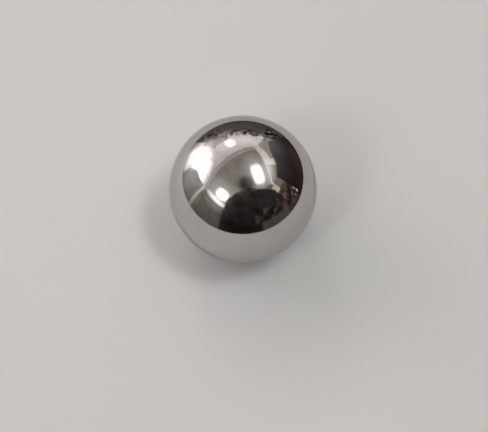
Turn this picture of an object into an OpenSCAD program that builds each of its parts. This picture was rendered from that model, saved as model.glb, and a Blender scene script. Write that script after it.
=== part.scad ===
// Solid steel ball, mirror polished.
// It is one plain sphere in one piece, with no hole, flat, seam or joint anywhere.
// Millimetres, +Z up. The origin is the centre of the ball: the one point that
// stays put however the ball is turned, and so its centre of mass too.

/* [Ball] */
// Diameter of the ball, the same across every line through its centre
ball_d = 50; // [5:0.5:150]

/* [Hidden] */

// A ball this smooth needs a fine mesh wherever it is drawn as flats.
$fa = 2;
$fs = 0.5;

// The skin is one true sphere, ground and polished to the same radius all over.
module ball() {
    color("silver")
        sphere(d = ball_d);
}

ball();
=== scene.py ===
# Mirror-polished steel ball on a pale round table, in a plain studio.
# Metres, +Z up. The origin is the centre of the ball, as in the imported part.
import math

import bmesh
import bpy
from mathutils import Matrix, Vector


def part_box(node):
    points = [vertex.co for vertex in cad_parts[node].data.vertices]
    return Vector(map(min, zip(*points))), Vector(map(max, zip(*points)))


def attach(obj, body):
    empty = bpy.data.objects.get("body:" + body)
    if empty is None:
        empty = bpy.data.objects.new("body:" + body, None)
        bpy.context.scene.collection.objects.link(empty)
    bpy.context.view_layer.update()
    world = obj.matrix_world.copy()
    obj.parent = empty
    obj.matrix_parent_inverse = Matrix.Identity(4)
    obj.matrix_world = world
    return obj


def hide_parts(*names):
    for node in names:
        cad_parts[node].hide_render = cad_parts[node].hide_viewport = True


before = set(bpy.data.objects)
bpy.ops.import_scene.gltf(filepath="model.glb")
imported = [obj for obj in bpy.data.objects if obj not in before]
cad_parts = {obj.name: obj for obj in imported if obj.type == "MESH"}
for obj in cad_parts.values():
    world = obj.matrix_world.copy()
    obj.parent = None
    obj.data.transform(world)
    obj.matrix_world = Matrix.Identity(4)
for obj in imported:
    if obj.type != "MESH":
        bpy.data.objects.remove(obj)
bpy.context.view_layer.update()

# ---- The ball ----
BALL = "ball"           # the node it replaces
CELLS = 90              # squares along each edge of the cube that the ball's mesh is blown up from
BAKE_GAP = 0.01         # share of its square in the bake map that a cube's face keeps free on each side
STEEL = (0.575, 0.562, 0.545)
STEEL_CLOUDED = (0.548, 0.538, 0.523)
STEEL_GRAZING = (0.78, 0.775, 0.77)     # how much of the plain curve it mirrors at grazing angles
CLOUD = 0.016           # size of the faint clouds that the polishing cloth leaves
CLOUD_LEVELS = (0.35, 0.68)     # of the noise: where a cloud begins, and where it is full
GRAIN = 0.0005          # size of the finest unevenness that the lapping leaves
GRAIN_HEIGHT = 0.4e-6
MARK_LENGTH, MARK_WIDTH = 0.006, 0.0002     # the faint marks of the lapping plates
MARK_TURNS = ((0.3, 0.5, 0.2), (1.4, 0.9, 2.1), (2.3, 2.0, 1.0))    # the ways they run, in radians
MARK_LEVELS = (0.64, 0.78)      # of the noise: where a mark begins, and where it is full
ROUGHNESS = (0.045, 0.075)      # from the clearest places to the cloudiest
MARK_ROUGHNESS = 0.035          # more than that, inside a lapping mark

# ---- The photograph's view ----
FRAME_W, FRAME_H = 488, 432         # pixels
BALL_CENTRE_PX = (243.0, 189.5)     # middle of the ball's outline, from the frame's top left corner
BALL_RADIUS_PX = 74.0
CAMERA_ELEVATION = 61.0             # degrees above the horizon
LENS_MM, SENSOR_MM = 60.0, 36.0
NEAREST_SEEN = 0.01

# ---- The table ----
TABLE_RADII = 9.0       # radius of the table top, in radii of the ball
TABLE_THICK = 0.012
TABLE_EDGE = 0.004      # radius of the table's rounded edge
TABLE_FLATS, EDGE_FLATS = 256, 6    # flats round the table, and round the curve of its edge
TABLE_TONE = (0.595, 0.602, 0.598)
TABLE_ROUGHNESS = 0.6

# ---- The studio ----
# A plain box of a room, turned against the camera, with panels, lamps and a window in it. They are
# cards that shine by themselves, with the room's light and shade painted into their tones. Lengths and
# directions are from the ball's centre. Azimuths and elevations are in degrees: azimuth 0 is straight
# behind the ball, and 90 is to its right.
ROOM_TURN = -31.0       # azimuth of the wall behind the ball
CEILING, FLOOR = 5.0, -2.2
BACK, RIGHT, FRONT, LEFT = 2.95, 3.44, 3.9, 9.7
GROOVE = (1.0, 0.0)             # from the back wall: the edges of a dull band along the ceiling
CORNICE = (0.82, 0.16)          # from the back wall: the edges of a paler band on that one
CEILING_STEP = 0.02             # how far each of the two hangs below what it covers
PANEL_FOOT = -20                # elevation of the foot of the panels that reach below the table's edge
BEND_FLATS = 24                 # flats in a bent card
# The patches below are painted uneven light on the shining cards.
LIT_PATCHES, GLOW_PATCHES = 1.2, 2.6    # patches of unevenness to a metre
PATCH_LEVELS = (0.3, 0.7)       # of the noise: where a bright patch begins, and where it is full
LAMP_TONE = (1.0, 0.99, 0.975)
LAMP = (40.0, 4.0)              # a lamp's peak, and how fast it falls off towards its edges
WINDOW_TONE = (1.0, 0.94, 0.975)
SPILL_TONE = (1.0, 0.84, 0.79)  # daylight that fell on something warm
# Small bright specks low among the panels: azimuth and elevation, width and height, and peak.
# As the ball sees them, so all but the peak is in degrees.
GLINTS = (
    ((92, 7.5), (2.6, 4.5), 0.9),
    ((91, 0.5), (2.6, 7), 1.2),
    ((96, 0.0), (2, 4), 0.7),
    ((23, 5.0), (3, 2.5), 0.8),
)
GLINT_DISTANCE = 1.88


def radius_inside(box):
    """The largest radius about the origin that stays inside a box."""
    return min(abs(side) for corner in box for side in corner)


def link(name, data):
    """A new object in the scene that holds a mesh or a camera."""
    obj = bpy.data.objects.new(name, data)
    bpy.context.scene.collection.objects.link(obj)
    return obj


class Look:
    """A material, with short calls that add its nodes and join them up."""

    def __init__(self, name="card"):
        self.material = bpy.data.materials.new(name)
        self.material.use_nodes = True
        self.tree = self.material.node_tree
        self.tree.nodes.clear()

    def set(self, socket, value):
        """Give a socket its value, or the socket that feeds it."""
        if isinstance(value, bpy.types.NodeSocket):
            self.tree.links.new(value, socket)
        elif socket.type == "RGBA":
            socket.default_value = (*value, 1)
        else:
            socket.default_value = value

    def add(self, kind, inputs=(), **settings):
        """A new node of a kind, with its inputs given by name or number."""
        node = self.tree.nodes.new("ShaderNode" + kind)
        for setting, value in settings.items():
            setattr(node, setting, value)
        for place, value in dict(inputs).items():
            self.set(node.inputs[place], value)
        return node

    def math(self, operation, *values):
        """The result of one sum, such as ADD, on numbers and sockets."""
        return self.add("Math", enumerate(values), operation=operation).outputs[0]

    def ease(self, value, start, end):
        """From 0 at start to 1 at end, smoothly."""
        inputs = {"Value": value, "From Min": start, "From Max": end}
        return self.add("MapRange", inputs, interpolation_type="SMOOTHSTEP").outputs[0]

    def blend(self, share, first, second):
        """A colour between two colours."""
        mix = self.add("Mix", data_type="RGBA")
        for place, value in ((0, share), (6, first), (7, second)):
            self.set(mix.inputs[place], value)
        return mix.outputs[2]

    def done(self, shader):
        """The finished material, with a shader node as its surface."""
        self.add("OutputMaterial", {"Surface": shader.outputs[0]})
        return self.material


# ---------------------------------------------------------------- the ball

def ball_mesh(radius):
    """A sphere blown up from a cube whose faces are cut into CELLS by CELLS squares.

    Each face of the cube keeps its own square of the bake map.
    """
    bm = bmesh.new()
    bmesh.ops.create_cube(bm, size=2.0)
    bmesh.ops.subdivide_edges(bm, edges=bm.edges[:], cuts=CELLS - 1, use_grid_fill=True)
    bake = bm.loops.layers.uv.new("OFBake")
    for face in bm.faces:
        middle = face.calc_center_median()
        axis = max(range(3), key=lambda i: abs(middle[i]))
        side = 1 if middle[axis] > 0 else -1
        for loop in face.loops:
            loop[bake].uv = chart(loop.vert.co, axis, side)
        face.smooth = True
    for vert in bm.verts:
        spread = Vector(math.tan(c * math.pi / 4) for c in vert.co)
        vert.co = spread.normalized() * radius
    mesh = bpy.data.meshes.new(BALL)
    bm.to_mesh(mesh)
    bm.free()
    mesh.normals_split_custom_set_from_vertices([v.co.normalized() for v in mesh.vertices])
    return mesh


def chart(corner, axis, side):
    """Where a corner of the cut cube lies in the bake map.

    The map holds the cube's six faces as 3 columns, one for each axis, and 2 rows.
    """
    across, up = corner[(axis + 1) % 3] * side, corner[(axis + 2) % 3]
    column, row = axis, (side + 1) / 2
    return (
        (column + BAKE_GAP + (1 - 2 * BAKE_GAP) * (across + 1) / 2) / 3,
        (row + BAKE_GAP + (1 - 2 * BAKE_GAP) * (up + 1) / 2) / 2,
    )


def lapping_marks(look, place):
    """Sparse fine streaks that run in three directions, as 0 to 1."""
    scale = (1 / MARK_LENGTH, 1 / MARK_WIDTH, 1 / MARK_WIDTH)
    marks = 0.0
    for turn in MARK_TURNS:
        turned = look.add("Mapping", {"Vector": place, "Rotation": turn, "Scale": scale})
        streaks = look.add("TexNoise", {"Vector": turned.outputs[0], "Scale": 1.0, "Detail": 1.0})
        marks = look.math("MAXIMUM", look.ease(streaks.outputs[0], *MARK_LEVELS), marks)
    return marks


def polished_steel():
    """Steel lapped to a mirror, very faintly clouded and marked."""
    look = Look("polished_steel")
    place = look.add("TexCoord").outputs["Object"]
    clouds = look.add("TexNoise", {"Vector": place, "Scale": 1 / CLOUD, "Detail": 3.0})
    cloud_and_light_patch = look.ease(clouds.outputs[0], *CLOUD_LEVELS)
    between = look.add("MapRange", {"Value": cloud_and_light_patch, "To Min": ROUGHNESS[0], "To Max": ROUGHNESS[1]})
    marks = lapping_marks(look, place)
    grain = look.add("TexNoise", {"Vector": place, "Scale": 1 / GRAIN, "Detail": 2.0})
    bump = look.add("Bump", {"Height": grain.outputs[0], "Distance": GRAIN_HEIGHT})
    return look.done(look.add("BsdfPrincipled", {
        "Base Color": look.blend(cloud_and_light_patch, STEEL, STEEL_CLOUDED),
        "Metallic": 1.0,
        "Specular Tint": STEEL_GRAZING,
        "Roughness": look.math("MULTIPLY_ADD", marks, MARK_ROUGHNESS, between.outputs[0]),
        "Normal": bump.outputs[0],
    }))


def make_ball():
    """The ball in place of its node. Its radius is what the node's box leaves room for."""
    radius = radius_inside(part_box(BALL))
    ball = link("polished_ball", ball_mesh(radius))
    ball.data.materials.append(polished_steel())
    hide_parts(BALL)
    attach(ball, "root")
    return radius


# ---------------------------------------------------------------- the table

def table_paint():
    """A plain pale matt paint."""
    look = Look("table_paint")
    return look.done(look.add("BsdfPrincipled", {"Base Color": TABLE_TONE, "Roughness": TABLE_ROUGHNESS}))


def make_table(ball_radius):
    """A round table top with a rounded edge, which the ball's lowest point touches."""
    radius = TABLE_RADII * ball_radius
    bm = bmesh.new()
    bmesh.ops.create_cone(
        bm, cap_ends=True, segments=TABLE_FLATS, depth=TABLE_THICK, radius1=radius, radius2=radius)
    rims = [e for e in bm.edges if len({round(v.co.z, 6) for v in e.verts}) == 1]
    bmesh.ops.bevel(bm, geom=rims, offset=TABLE_EDGE, segments=EDGE_FLATS, affect="EDGES", profile=0.5)
    bmesh.ops.translate(bm, verts=bm.verts, vec=(0, 0, -ball_radius - TABLE_THICK / 2))
    for face in bm.faces:
        face.smooth = len(face.verts) == 4
    mesh = bpy.data.meshes.new("table")
    bm.to_mesh(mesh)
    bm.free()
    mesh.materials.append(table_paint())
    link("table", mesh)


# ---------------------------------------------------------------- the studio's cards

def toward(azimuth, elevation=0.0):
    """The direction from the ball at an azimuth and an elevation."""
    a, e = math.radians(azimuth), math.radians(elevation)
    return Vector((math.sin(a) * math.cos(e), math.cos(a) * math.cos(e), math.sin(e)))


def strip(name, low, high, surface):
    """A card between a low and a high row of points, given from left to right as seen from the ball.

    It and its surface get the name.
    """
    bm = bmesh.new()
    card = bm.loops.layers.uv.new("card")
    rows = [[bm.verts.new(p) for p in row] for row in (low, high)]
    cells = len(low) - 1
    for i in range(cells):
        left, right = i / cells, (i + 1) / cells
        face = bm.faces.new((rows[0][i], rows[0][i + 1], rows[1][i + 1], rows[1][i]))
        for loop, place in zip(face.loops, ((left, 0), (right, 0), (right, 1), (left, 1))):
            loop[card].uv = place
    mesh = bpy.data.meshes.new(name)
    bm.to_mesh(mesh)
    bm.free()
    surface.name = name
    mesh.materials.append(surface)
    link(name, mesh)


def upright(name, azimuth, distance, across, up, surface):
    """A flat upright card that faces the ball from an azimuth and a distance."""
    out, right = toward(azimuth) * distance, toward(azimuth + 90)
    low, high = ([out + right * a + Vector((0, 0, z)) for a in across] for z in up)
    strip(name, low, high, surface)


def overhead(name, azimuth, height, outwards, across, surface):
    """A flat level card, which spans outwards along an azimuth and across it."""
    out, right = toward(azimuth), toward(azimuth + 90)
    low, high = ([out * o + right * a + Vector((0, 0, height)) for a in across] for o in outwards[::-1])
    strip(name, low, high, surface)


def bent(name, azimuths, low, high, distance, surface):
    """An upright card that bends round the ball between two azimuths.

    low is the elevation of its foot. high is a row of elevations along its top, from left to right.
    """
    def row(elevations):
        for i in range(BEND_FLATS + 1):
            spot = i / BEND_FLATS * (len(elevations) - 1)
            start = min(int(spot), len(elevations) - 2)
            elevation = elevations[start] + (elevations[start + 1] - elevations[start]) * (spot - start)
            azimuth = azimuths[0] + (azimuths[1] - azimuths[0]) * i / BEND_FLATS
            yield toward(azimuth) * distance + Vector((0, 0, distance * math.tan(math.radians(elevation))))

    strip(name, list(row((low, low))), list(row(high)), surface)


def facing(name, at, distance, size, surface, roll=0):
    """A flat card square to the line from the ball to its middle.

    at is its azimuth and elevation. size is its width and height in degrees, as the ball sees it.
    A positive roll, in degrees, lifts its right side.
    """
    azimuth, elevation = at
    out = toward(azimuth, elevation)
    level, rise = toward(azimuth + 90), toward(azimuth, elevation + 90)
    r = math.radians(roll)
    right, up = level * math.cos(r) + rise * math.sin(r), rise * math.cos(r) - level * math.sin(r)
    half_w, half_h = (distance * math.tan(math.radians(s / 2)) for s in size)
    middle = out * distance
    low, high = ([middle + right * a + up * b for a in (-half_w, half_w)] for b in (-half_h, half_h))
    strip(name, low, high, surface)


# ---------------------------------------------------------------- the cards' surfaces

def across_and_up(look):
    """A card's own map coordinates, from 0 to 1."""
    place = look.add("UVMap", uv_map="card")
    split = look.add("SeparateXYZ", {0: place.outputs[0]})
    return split.outputs[0], split.outputs[1]


def uneven_light(look, light_mottle, patches):
    """Soft patches of painted light, brighter and dimmer, that many to a metre, which range between the
    two numbers given.
    """
    place = look.add("TexCoord").outputs["Object"]
    light_patch_noise = look.add("TexNoise", {"Vector": place, "Scale": patches, "Detail": 2.0})
    cloud_and_light_patch = look.ease(light_patch_noise.outputs[0], *PATCH_LEVELS)
    return look.math("MULTIPLY_ADD", cloud_and_light_patch, light_mottle[1] - light_mottle[0], light_mottle[0])


def over(look, shown, shine):
    """A shader that is as much there as shown says, from 0 to 1, and otherwise clear."""
    clear = look.add("BsdfTransparent")
    return look.add("MixShader", {0: shown, 1: clear.outputs[0], 2: shine.outputs[0]})


def fade(look, place, share):
    """From 0 at both ends of a map coordinate to 1, over a share of it at either end."""
    return look.ease(look.math("PINGPONG", place, 0.5), 0.0, share)


def inside(look, squareness):
    """How far inside a card's edge a place is: 1 in the middle, 0 along a round or squarish outline."""
    total = 0.0
    for place in across_and_up(look):
        offset = look.math("ABSOLUTE", look.math("MULTIPLY_ADD", place, 2.0, -1.0))
        total = look.math("ADD", look.math("POWER", offset, squareness), total)
    return look.math("MAXIMUM", look.math("SUBTRACT", 1.0, look.math("POWER", total, 1 / squareness)), 0.0)


def even(*tone):
    """One tone at all four corners."""
    return (tone,) * 4


def lit(tones, soft=(0.0, 0.0), light_mottle=(0.9, 1.1), rise=1.0):
    """A surface that shines with a smooth blend of the tones at its corners, a little unevenly. The blend
    is painted light and shade across the surface, and the unevenness is painted uneven light.

    tones are for its low left, low right, high right and high left. soft is the share of its
    width and of its height over which it fades out at either side. The light mottle is how dim and how
    bright the painted uneven light makes it. A rise above 1 keeps the low tones to further up.
    """
    look = Look()
    across, up = across_and_up(look)
    height = look.math("POWER", up, rise)
    low = look.blend(across, tones[0], tones[1])
    high = look.blend(across, tones[3], tones[2])
    uneven = uneven_light(look, light_mottle, LIT_PATCHES)
    shine = look.add("Emission", {"Color": look.blend(height, low, high), "Strength": uneven})
    if not any(soft):
        return look.done(shine)
    shown = 1.0
    for place, share in zip((across, up), soft):
        if share:
            shown = look.math("MULTIPLY", fade(look, place, share), shown)
    return look.done(over(look, shown, shine))


def glow(tone, peak, falloff, squareness=2.0, light_mottle=(1.0, 1.0)):
    """A soft light over whatever is behind it: brightest in the middle, nothing at the edges.

    A higher falloff keeps more of the light in the middle. Its light mottle is the painted uneven light,
    as in lit.
    """
    look = Look()
    strength = look.math("MULTIPLY", look.math("POWER", inside(look, squareness), falloff), peak)
    if light_mottle[0] < light_mottle[1]:
        strength = look.math("MULTIPLY", strength, uneven_light(look, light_mottle, GLOW_PATCHES))
    shine = look.add("Emission", {"Color": tone, "Strength": strength})
    clear = look.add("BsdfTransparent")
    return look.done(look.add("AddShader", {0: shine.outputs[0], 1: clear.outputs[0]}))


def shade(tone, firmness):
    """A round dark spot with a soft edge, over whatever is behind it."""
    look = Look()
    shown = look.math("MINIMUM", look.math("MULTIPLY", inside(look, 2.0), firmness), 1.0)
    return look.done(over(look, shown, look.add("Emission", {"Color": tone})))


def clutter(shapes, height, dark, light, ragged=2.6):
    """Blurred dark and light shapes with a ragged top, which fade out at the card's foot and sides.

    shapes are their numbers across and up. height is how far up the card they reach on average,
    and ragged is how much that varies.
    """
    top_fade, foot_fade, side_fade = 0.3, 0.15, 0.06
    shade_scale = 1.1
    dark_below, light_above = 0.40, 0.75
    look = Look()
    across, up = across_and_up(look)
    place = look.add("CombineXYZ", {
        "X": look.math("MULTIPLY", across, shapes[0]),
        "Y": look.math("MULTIPLY", up, shapes[1]),
    })
    outline = look.add("TexNoise", {"Vector": place.outputs[0], "Scale": 1.0, "Detail": 3.0})
    reach = look.math("MULTIPLY_ADD", outline.outputs[0], ragged, height - ragged / 2)
    shown = look.ease(look.math("SUBTRACT", reach, up), 0.0, top_fade)
    shown = look.math("MULTIPLY", look.ease(up, 0.0, foot_fade), shown)
    shown = look.math("MULTIPLY", fade(look, across, side_fade), shown)
    shades = look.add("TexNoise", {"Vector": place.outputs[0], "Scale": shade_scale, "Detail": 2.0})
    tone = look.blend(look.ease(shades.outputs[0], dark_below, light_above), dark, light)
    return look.done(over(look, shown, look.add("Emission", {"Color": tone})))


# ---------------------------------------------------------------- the room

def make_walls():
    """The box of the room, which has no floor of its own."""
    back, right, front, left = (ROOM_TURN + quarter for quarter in (0, 90, 180, 270))
    tall, wide = (FLOOR, CEILING), (-LEFT, RIGHT)
    upright("wall_back", back, BACK, wide, tall, lit((
        (0.30, 0.26, 0.25), (0.50, 0.43, 0.41), (0.76, 0.65, 0.615), (0.42, 0.365, 0.355))))
    upright("wall_right", right, RIGHT, (-BACK, FRONT), tall, lit((
        (0.70, 0.64, 0.57), (0.80, 0.77, 0.67), (0.80, 0.78, 0.66), (0.72, 0.66, 0.58))))
    upright("wall_front", front, FRONT, (-RIGHT, LEFT), tall, lit(even(0.12, 0.115, 0.095)))
    upright("wall_left", left, LEFT, (-FRONT, BACK), tall, lit((
        (0.10, 0.10, 0.082), (0.12, 0.12, 0.098), (0.22, 0.215, 0.185), (0.19, 0.19, 0.155))))
    overhead("ceiling", back, CEILING, (-FRONT, BACK), wide, lit((
        (0.31, 0.29, 0.26), (0.28, 0.25, 0.225), (0.31, 0.29, 0.26), (0.29, 0.285, 0.25))))
    overhead("groove", back, CEILING - CEILING_STEP, [BACK - g for g in GROOVE], wide, lit(
        even(0.285, 0.255, 0.235)))
    overhead("cornice", back, CEILING - 2 * CEILING_STEP, [BACK - c for c in CORNICE], wide, lit(
        even(0.42, 0.375, 0.35), soft=(0, 0.12)))


def make_panels_behind():
    """A dull panel behind the ball, with a ragged row of dark and light shapes along its top."""
    bent("panel_back", (-39, 34), PANEL_FOOT, (22, 22), 2.10, lit((
        (0.10, 0.087, 0.080), (0.07, 0.062, 0.058), (0.11, 0.096, 0.088), (0.16, 0.142, 0.132)),
        soft=(0.03, 0.08), light_mottle=(0.8, 1.2)))
    bent("boards", (-39, 31), 13.6, (36, 38, 38, 36), 2.05, clutter(
        (9, 1.5), 0.46, (0.045, 0.039, 0.036), (0.36, 0.314, 0.289), ragged=2.4))
    # A soft pale glow over the boards, painted light.
    facing("boards_beige_glow", (-20, 17), 2.03, (20, 9), glow((1.0, 0.93, 0.82), 0.30, 0.8), roll=-8)
    bent("boards_brown", (-43, -17), 9, (33, 31), 2.0, clutter(
        (4.2, 1.3), 1.15, (0.13, 0.105, 0.09), (0.42, 0.36, 0.31), ragged=1.3))
    facing("boards_grey", (9.5, 23.5), 2.0, (11, 9), shade((0.11, 0.10, 0.095), 1.6))
    bent("boards_left", (-39, -18.5), -3, (15, 15), 2.04, clutter(
        (4, 1.6), 2.0, (0.03, 0.026, 0.024), (0.34, 0.295, 0.27)))
    bent("boards_right", (18.5, 33), -3, (15, 15), 2.04, clutter(
        (3, 1.6), 2.0, (0.012, 0.009, 0.008), (0.30, 0.25, 0.21)))


def make_panels_right():
    """To the right a tall dark panel before the pale wall, and brown boards beside it."""
    bent("panel_right", (31, 93), PANEL_FOOT, (28.5, 37.5, 40, 40.2, 40.2, 40.2), 2.0, lit((
        (0.030, 0.025, 0.025), (0.008, 0.007, 0.007), (0.065, 0.058, 0.058), (0.20, 0.173, 0.177)),
        soft=(0.03, 0.04), light_mottle=(0.85, 1.15), rise=2.8))
    bent("panel_right_foot", (36, 100), PANEL_FOOT, (24, 16, 12), 1.95, lit((
        (0.070, 0.045, 0.040), (0.028, 0.017, 0.015), (0.022, 0.014, 0.012), (0.060, 0.042, 0.038)),
        soft=(0.25, 0.5)))
    facing("panel_right_glow", (40, 23), 1.93, (36, 36), glow((1.0, 0.90, 0.91), 0.055, 1.0))
    # A thin strip that glows with daylight.
    facing("daylight_gap", (26, 22.5), 1.92, (21, 6), glow(WINDOW_TONE, 0.34, 0.9), roll=-38)
    bent("panel_right_high", (24, 59), 20, (43, 44, 45, 46), 2.65, lit((
        (0.34, 0.30, 0.285), (0.45, 0.40, 0.37), (0.44, 0.39, 0.365), (0.35, 0.31, 0.295)),
        soft=(0.06, 0.05)))
    bent("panel_right_grey", (69, 106), 25, (54.5, 53, 51, 48, 43), 2.65, lit(
        even(0.24, 0.235, 0.20), soft=(0.05, 0.04)))
    bent("panel_pale", (99, 118), 24, (42, 40), 2.9, lit(even(0.66, 0.60, 0.54), soft=(0.1, 0.1)))
    bent("panel_warm", (89, 124), PANEL_FOOT, (29, 29), 2.4, lit((
        (0.04, 0.026, 0.022), (0.03, 0.022, 0.020), (0.11, 0.072, 0.057), (0.19, 0.12, 0.092)),
        soft=(0.08, 0.04)))
    bent("boards_warm", (89, 121), -4, (32, 32), 2.35, clutter(
        (3.2, 2.6), 0.9, (0.026, 0.016, 0.014), (0.25, 0.150, 0.110), ragged=1.5))


def make_panels_left_and_front():
    """To the left a mid-grey panel and a pale post, and on the camera's side dark flags."""
    bent("panel_left", (-112, -66.5), PANEL_FOOT, (30, 28.5, 27, 24.5, 21, 6), 1.8, lit((
        (0.10, 0.095, 0.085), (0.20, 0.175, 0.172), (0.72, 0.635, 0.63), (0.22, 0.21, 0.19)),
        soft=(0.03, 0.04), light_mottle=(0.75, 1.25)))
    bent("flag_right", (112, 160), PANEL_FOOT, (36, 48, 55.5, 60, 63), 2.3, lit((
        (0.032, 0.027, 0.025), (0.026, 0.021, 0.020), (0.030, 0.024, 0.023), (0.045, 0.035, 0.032)),
        soft=(0.06, 0.08), light_mottle=(0.7, 1.3)))
    bent("flag_right_foot", (112, 160), PANEL_FOOT, (16, 16), 2.27, lit(
        even(0.082, 0.075, 0.070), soft=(0.06, 0.3), light_mottle=(0.8, 1.2)))
    bent("flag_front", (152, 214), PANEL_FOOT, (63, 63, 61, 56, 40), 2.2, lit((
        (0.012, 0.010, 0.009), (0.014, 0.011, 0.011), (0.12, 0.105, 0.096), (0.045, 0.033, 0.031)),
        soft=(0.08, 0.08), light_mottle=(0.6, 1.4), rise=2.0))
    bent("boards_front", (119, 164), 2, (36, 30), 2.15, clutter(
        (3.4, 2.4), 0.75, (0.012, 0.009, 0.009), (0.13, 0.104, 0.085), ragged=1.6))
    bent("seam", (-152, -103), 23.6, (25.0, 25.4), 3.45, lit(even(0.07, 0.07, 0.055), soft=(0.08, 0.3)))
    facing("flag_top", (165, 69), 4.6, (32, 30), shade((0.06, 0.057, 0.053), 1.8))
    bent("post", (-105.2, -98.8), PANEL_FOOT, (29, 29), 1.7, lit((
        (0.26, 0.25, 0.235), (0.30, 0.285, 0.26), (0.84, 0.83, 0.76), (0.84, 0.83, 0.76)), soft=(0.3, 0)))


def make_window():
    """A bright window to the left of the ball, and the light that it spills round itself."""
    facing("window", (-74.5, 29.5), 2.1, (51, 35), glow(
        WINDOW_TONE, 4.4, 1.6, light_mottle=(0.6, 1.4)), roll=10)
    facing("window_low", (-57.5, 12.5), 2.0, (41, 53), glow(
        WINDOW_TONE, 3.4, 1.5, squareness=2.4, light_mottle=(0.6, 1.4)), roll=6)
    facing("window_spill", (-40, 14), 1.95, (26, 34), glow(SPILL_TONE, 0.55, 1.0))
    facing("window_haze", (-56, 27), 1.9, (92, 70), glow(WINDOW_TONE, 0.55, 1.1))
    facing("wall_light", (6, 38), 2.3, (44, 30), glow(WINDOW_TONE, 0.5, 1.0))


def make_lamps():
    """Three lamps, each with a haze of light round it, and the small specks."""
    facing("lamp_back", (-19.7, 40.4), 1.9, (16.5, 22), glow(LAMP_TONE, *LAMP, squareness=2.6), roll=-13)
    facing("lamp_back_haze", (-20, 41), 1.89, (44, 48), glow(LAMP_TONE, 0.4, 1.3))
    facing("lamp_front", (-135.5, 43), 3.6, (31, 24), glow(LAMP_TONE, *LAMP, squareness=2.6))
    # A bright strip of painted light just below the front lamp.
    facing("lamp_front_ledge_light", (-132, 30.9), 3.55, (46, 9), glow(LAMP_TONE, 1.7, 0.9), roll=4)
    facing("lamp_front_haze", (-133, 41), 3.5, (72, 56), glow(LAMP_TONE, 0.5, 1.3))
    facing("lamp_right", (101.5, 67.5), 3.6, (43.5, 26), glow(LAMP_TONE, *LAMP, squareness=3.6), roll=-34)
    facing("lamp_right_haze", (96, 68), 3.5, (76, 54), glow(LAMP_TONE, 0.55, 1.7), roll=-34)
    facing("arch_light", (77, 51), 2.75, (54, 22), glow(LAMP_TONE, 0.7, 1.0), roll=-5)
    for at, size, peak in GLINTS:
        facing(f"glint_{at[0]}", at, GLINT_DISTANCE, size, glow(LAMP_TONE, peak, 0.8))


# ---------------------------------------------------------------- the camera

def make_camera(ball_radius):
    """The photograph's view: the ball's outline has its place and size in the frame."""
    lens_px = LENS_MM / SENSOR_MM * FRAME_W
    distance = ball_radius * math.hypot(1, lens_px / BALL_RADIUS_PX)
    e = math.radians(CAMERA_ELEVATION)
    place = Vector((0, -math.cos(e), math.sin(e))) * distance
    right, up = Vector((1, 0, 0)), Vector((0, math.sin(e), math.cos(e)))
    aim = right * (FRAME_W / 2 - BALL_CENTRE_PX[0]) - up * (FRAME_H / 2 - BALL_CENTRE_PX[1])
    data = bpy.data.cameras.new("camera")
    data.lens, data.sensor_width = LENS_MM, SENSOR_MM
    data.clip_start = NEAREST_SEEN
    camera = link("camera", data)
    camera.location = place
    camera.rotation_euler = (aim * distance / lens_px - place).to_track_quat("-Z", "Y").to_euler()
    bpy.context.scene.camera = camera


ball_radius = make_ball()
make_table(ball_radius)
make_walls()
make_panels_behind()
make_panels_right()
make_panels_left_and_front()
make_window()
make_lamps()
make_camera(ball_radius)
bpy.context.scene.view_settings.view_transform = "Standard"
